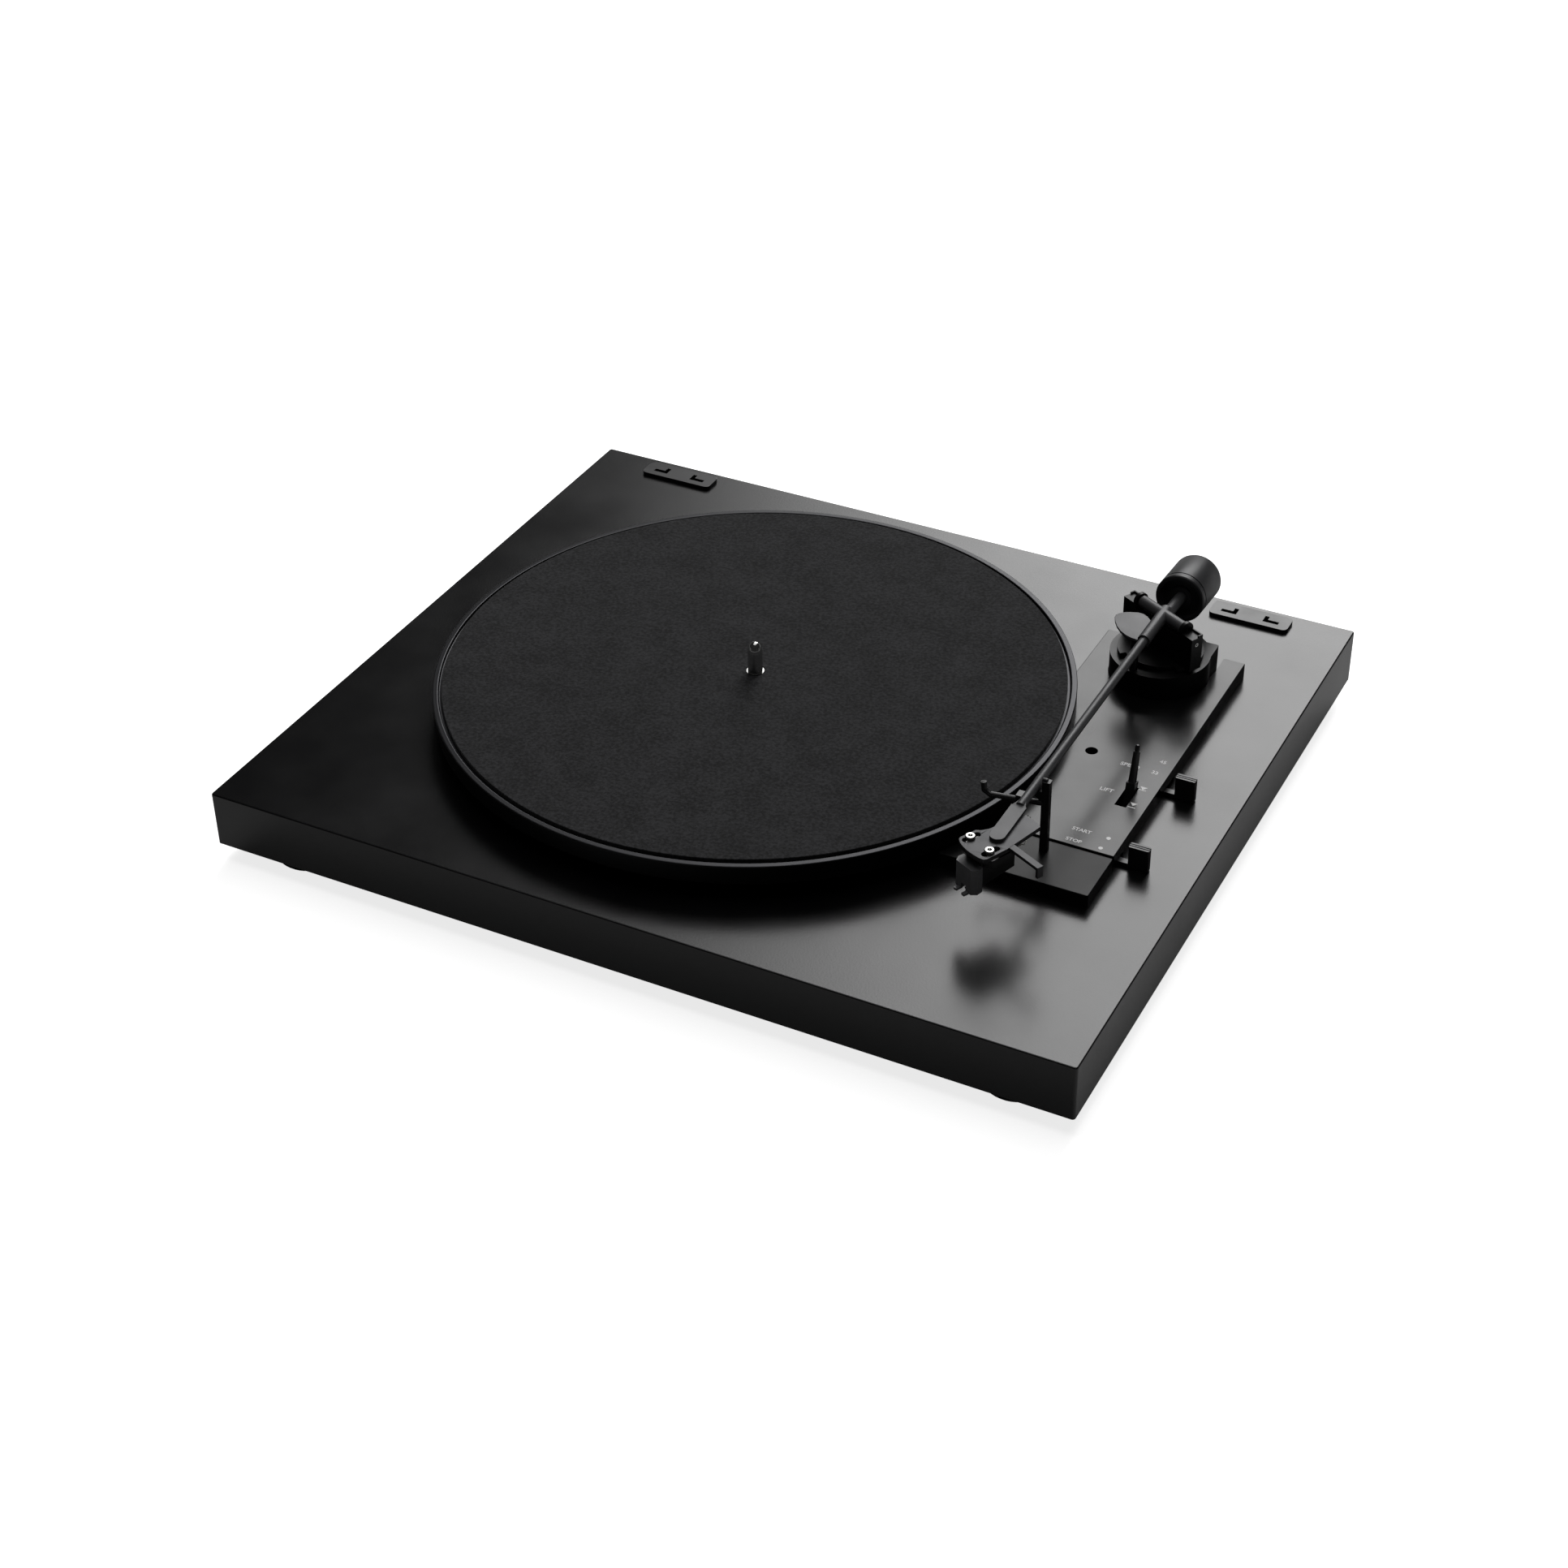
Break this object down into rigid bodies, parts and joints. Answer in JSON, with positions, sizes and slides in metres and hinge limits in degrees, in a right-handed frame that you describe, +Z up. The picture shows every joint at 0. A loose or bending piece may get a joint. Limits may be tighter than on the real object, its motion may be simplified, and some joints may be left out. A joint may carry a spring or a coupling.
{
  "type": "turntable record player",
  "caption": "Low black plinth with a felt-covered round platter, a straight pivoted tonearm with counterweight, side control levers and rear sockets.",
  "frame": {"origin": "on the table plane under the middle of the plinth", "axes": "+X to the right seen from the front, +Y to the rear, +Z up"},
  "size_m": [0.43, 0.365, 0.0873],
  "materials": {
    "plinth_foil": "black fine-grained foil on fibreboard, satin",
    "cover_board": "dark hardboard",
    "zinc_screw": "zinc-plated steel",
    "black_screw": "blackened steel",
    "foot_rubber": "black moulded rubber",
    "black_plastic": "black moulded plastic, satin",
    "deck_paint": "dark grey satin paint on a moulded shell",
    "platter_metal": "dark anodised, turned",
    "felt": "dark grey pressed felt",
    "sub_plastic": "black glass-filled plastic",
    "polished_steel": "polished steel",
    "white_nylon": "natural acetal",
    "brass": "turned brass",
    "motor_steel": "plated steel can",
    "belt_rubber": "black ground rubber",
    "steel_sheet": "plated sheet steel",
    "arm_metal": "dark grey anodised aluminium, satin",
    "weight_metal": "satin dark grey lacquer on steel",
    "head_paint": "satin black lacquer on aluminium",
    "cartridge_plastic": "black plastic",
    "stylus_plastic": "dark grey plastic",
    "stylus_metal": "bare aluminium cantilever",
    "lead_sleeve": "fine insulated wires",
    "gold_plate": "gold-plated brass",
    "red_white_plastic": "white insulating plastic",
    "board": "green circuit board with parts"
  },
  "bodies": {
    "chassis": {"plinth": "plinth_foil", "bottom_cover": "cover_board", "cover_screws": "black_screw", "feet": "foot_rubber", "foot_screws": "zinc_screw", "hinge_socket_right": "black_plastic", "hinge_socket_left": "black_plastic", "bearing_housing": "brass", "motor_can": "motor_steel", "motor_bracket": "steel_sheet", "motor_grommets": "belt_rubber", "drive_belt": "belt_rubber", "chassis_pins": "polished_steel", "chassis_screws": "zinc_screw", "deck_panel": "deck_paint", "arm_rest_base": "black_plastic", "arm_rest": "black_plastic", "lift_bracket": "steel_sheet", "pivot_base": "black_plastic", "pivot_bearings": "polished_steel", "rear_panel": "black_plastic", "rca_shells": "gold_plate", "rca_inserts": "red_white_plastic", "ground_stud": "brass", "line_switch": "black_plastic", "dc_inlet": "black_plastic", "circuit_board": "board"},
    "platter": {"platter": "platter_metal", "felt_mat": "felt", "subplatter": "sub_plastic", "spindle": "polished_steel", "drive_pinion": "white_nylon"},
    "motor_rotor": {"motor_shaft": "polished_steel", "motor_pulley": "brass"},
    "cam_gear": {"cam_gear": "white_nylon"},
    "main_lever": {"main_lever": "steel_sheet"},
    "start_stop": {"start_stop_lever": "black_plastic", "start_stop_slide": "steel_sheet"},
    "speed": {"speed_lever": "black_plastic"},
    "lift_lever": {"lift_lever": "black_plastic"},
    "lift_link": {"lift_link": "white_nylon"},
    "lift_bar": {"lift_bar": "black_plastic"},
    "arm_yoke": {"yoke_shaft": "polished_steel", "gimbal_yoke": "head_paint", "gimbal_screws": "polished_steel", "arm_segment": "steel_sheet"},
    "tonearm": {"arm_sleeve": "arm_metal", "arm_tube": "arm_metal", "side_plate": "arm_metal", "headshell": "head_paint", "finger_lift": "head_paint", "headshell_screws": "polished_steel", "cartridge_body": "cartridge_plastic", "stylus_holder": "stylus_plastic", "stylus": "stylus_metal", "cartridge_leads": "lead_sleeve"},
    "counterweight": {"counterweight": "weight_metal"},
    "ground_nut": {"ground_nut": "gold_plate"},
    "line_switch_knob": {"line_switch_knob": "black_plastic"},
    "set_screw": {"set_screw": "black_screw"}
  },
  "joints": [
    {"name": "platter_spin", "type": "hinge", "parent": "chassis", "child": "platter", "pos_m": [-0.024, -0.0065, 0.05], "axis": [0, 0, -1], "continuous": true},
    {"name": "motor_spin", "type": "hinge", "parent": "chassis", "child": "motor_rotor", "pos_m": [-0.104, 0.0685, 0.046], "axis": [0, 0, -1], "continuous": true},
    {"name": "cam_gear_turn", "type": "hinge", "parent": "chassis", "child": "cam_gear", "pos_m": [0.02214, 0.01029, 0.041], "axis": [0, 0, 1], "range_deg": [0, 12]},
    {"name": "main_lever_travel", "type": "slide", "parent": "chassis", "child": "main_lever", "axis": [0.8283, 0.5603, 0], "range_m": [0, 0.0015]},
    {"name": "arm_swing", "type": "hinge", "parent": "chassis", "child": "arm_yoke", "pos_m": [0.1441, 0.0928, 0.06], "axis": [0, 0, -1], "range_deg": [0, 42]},
    {"name": "arm_lift", "type": "hinge", "parent": "arm_yoke", "child": "tonearm", "pos_m": [0.1441, 0.0928, 0.079], "axis": [-0.8829, 0.4695, 0], "range_deg": [0, 3.4]},
    {"name": "counterweight_shift", "type": "slide", "parent": "tonearm", "child": "counterweight", "axis": [0, 0.9976, -0.0698], "range_m": [-0.002, 0.004]},
    {"name": "lift_lever_tilt", "type": "hinge", "parent": "chassis", "child": "lift_lever", "pos_m": [0.1676, -0.0095, 0.023], "axis": [1, 0, 0], "range_deg": [0, 27.2]},
    {"name": "lift_link_travel", "type": "slide", "parent": "chassis", "child": "lift_link", "axis": [0, 1, 0], "range_m": [0, 0.00353]},
    {"name": "lift_bar_rise", "type": "slide", "parent": "chassis", "child": "lift_bar", "axis": [0, 0, 1], "range_m": [0, 0.0015]},
    {"name": "start_stop_shift", "type": "slide", "parent": "chassis", "child": "start_stop", "axis": [0, 1, 0], "range_m": [-0.003, 0.003], "stiffness_N_per_m": 250},
    {"name": "speed_shift", "type": "slide", "parent": "chassis", "child": "speed", "axis": [0, 1, 0], "range_m": [0, 0.009]},
    {"name": "ground_nut_turn", "type": "hinge", "parent": "chassis", "child": "ground_nut", "pos_m": [-0.088, 0.177, 0.022], "axis": [0, 1, 0], "range_deg": [-180, 180]},
    {"name": "line_switch_shift", "type": "slide", "parent": "chassis", "child": "line_switch_knob", "axis": [1, 0, 0], "range_m": [0, 0.0032]},
    {"name": "set_screw_turn", "type": "hinge", "parent": "chassis", "child": "set_screw", "pos_m": [0.1398, 0.017, 0.038], "axis": [0, 0, 1], "range_deg": [-180, 180]}
  ],
  "couplings": [
    {"joint": "motor_spin", "follows": "platter_spin", "ratio": 11.333},
    {"joint": "cam_gear_turn", "follows": "main_lever_travel", "rad_per_m": 139.63},
    {"joint": "lift_lever_tilt", "follows": "lift_link_travel", "rad_per_m": 134.59},
    {"joint": "lift_bar_rise", "follows": "lift_link_travel", "ratio": 0.425},
    {"joint": "arm_lift", "follows": "lift_link_travel", "rad_per_m": 16.824}
  ]
}
